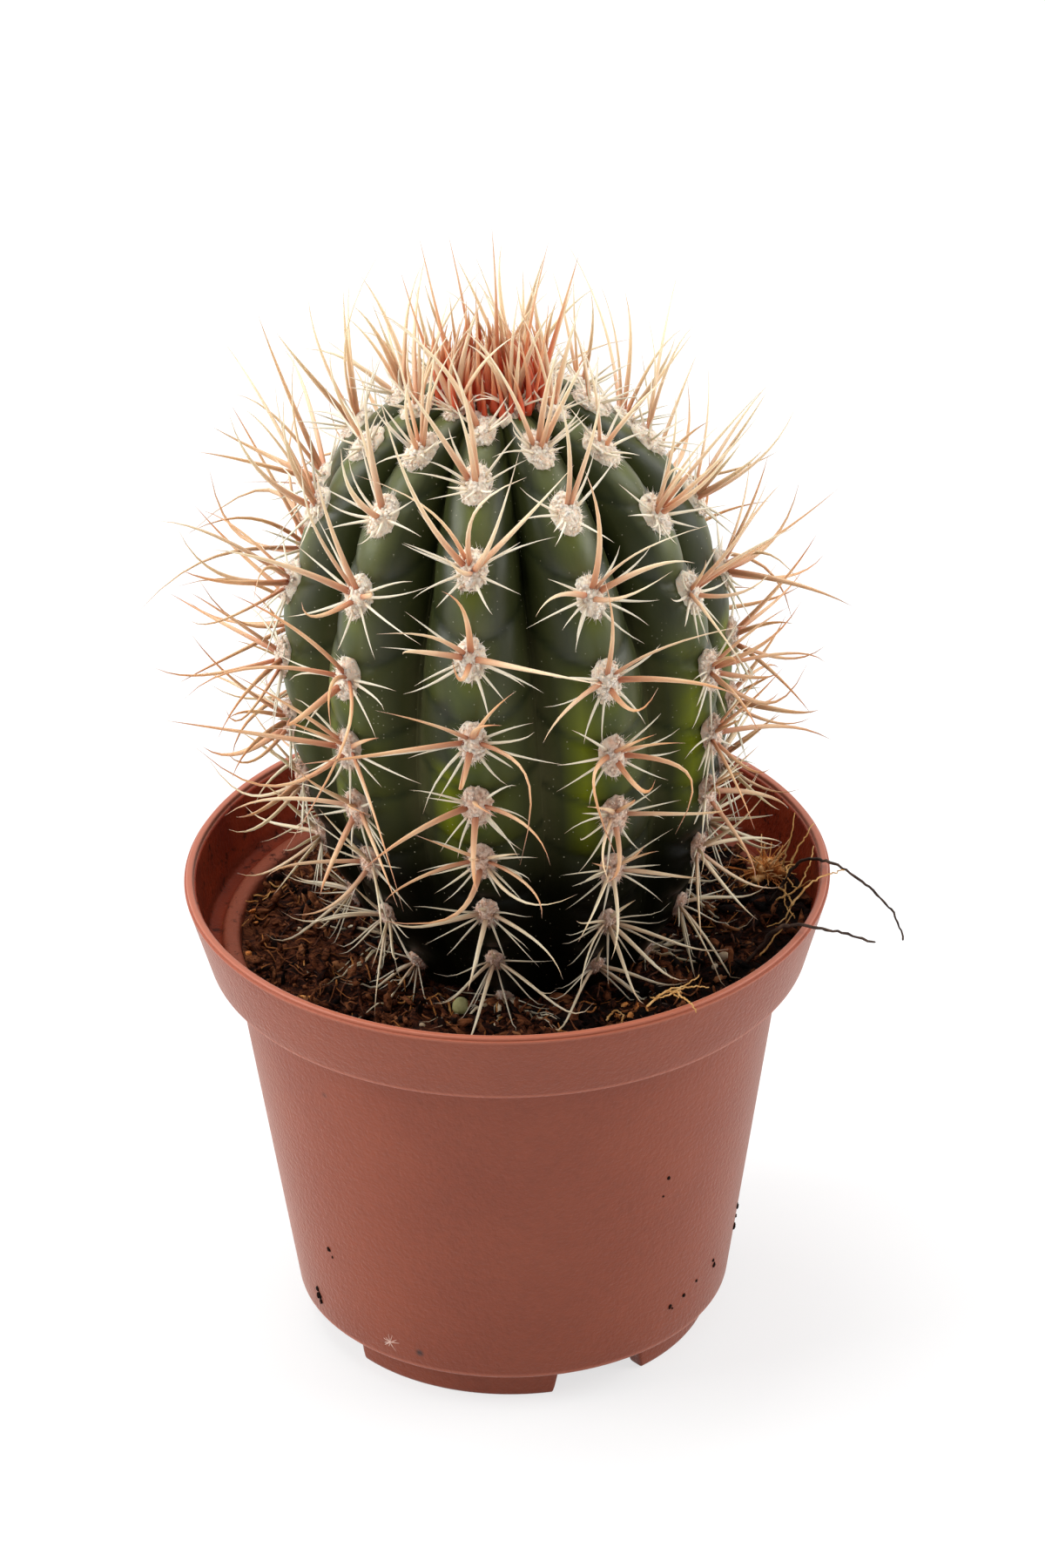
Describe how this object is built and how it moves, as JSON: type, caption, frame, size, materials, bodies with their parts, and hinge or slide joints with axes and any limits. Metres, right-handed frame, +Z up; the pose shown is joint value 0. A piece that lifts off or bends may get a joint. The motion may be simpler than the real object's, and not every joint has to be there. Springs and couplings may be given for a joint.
{
  "type": "potted column cactus",
  "caption": "Barrel-shaped ribbed cactus with rows of woolly areoles and long curved spines, rooted in soil in a round tapered nursery pot with a stepped collar.",
  "frame": {"origin": "on the ground, where the pot's axis meets the plane of its four feet", "axes": "+Z up along the pot's axis, -Y towards the front of the plant, +X to its right"},
  "size_m": [0.138, 0.1288, 0.2286],
  "materials": {
    "pot_plastic": "fine-grained moulded terracotta-coloured polypropylene",
    "potting_soil": "loose dark peat and coir crumbs",
    "stem_skin": "waxy semi-gloss dark green plant skin",
    "spines": "cream to orange-brown horny spines on cream wool",
    "dead_root": "dry dark brown root",
    "coir": "matted orange-brown coir fibre"
  },
  "bodies": {
    "root": {"pot": "pot_plastic", "soil": "potting_soil", "cactus_stem": "stem_skin", "spine_row_01": "spines", "spine_row_02": "spines", "spine_row_03": "spines", "spine_row_04": "spines", "spine_row_05": "spines", "spine_row_06": "spines", "spine_row_07": "spines", "spine_row_08": "spines", "spine_row_09": "spines", "spine_row_10": "spines", "crown_spines": "spines", "dead_rootlet_long": "dead_root", "dead_rootlet_short": "dead_root", "coir_clump": "coir"}
  },
  "joints": []
}
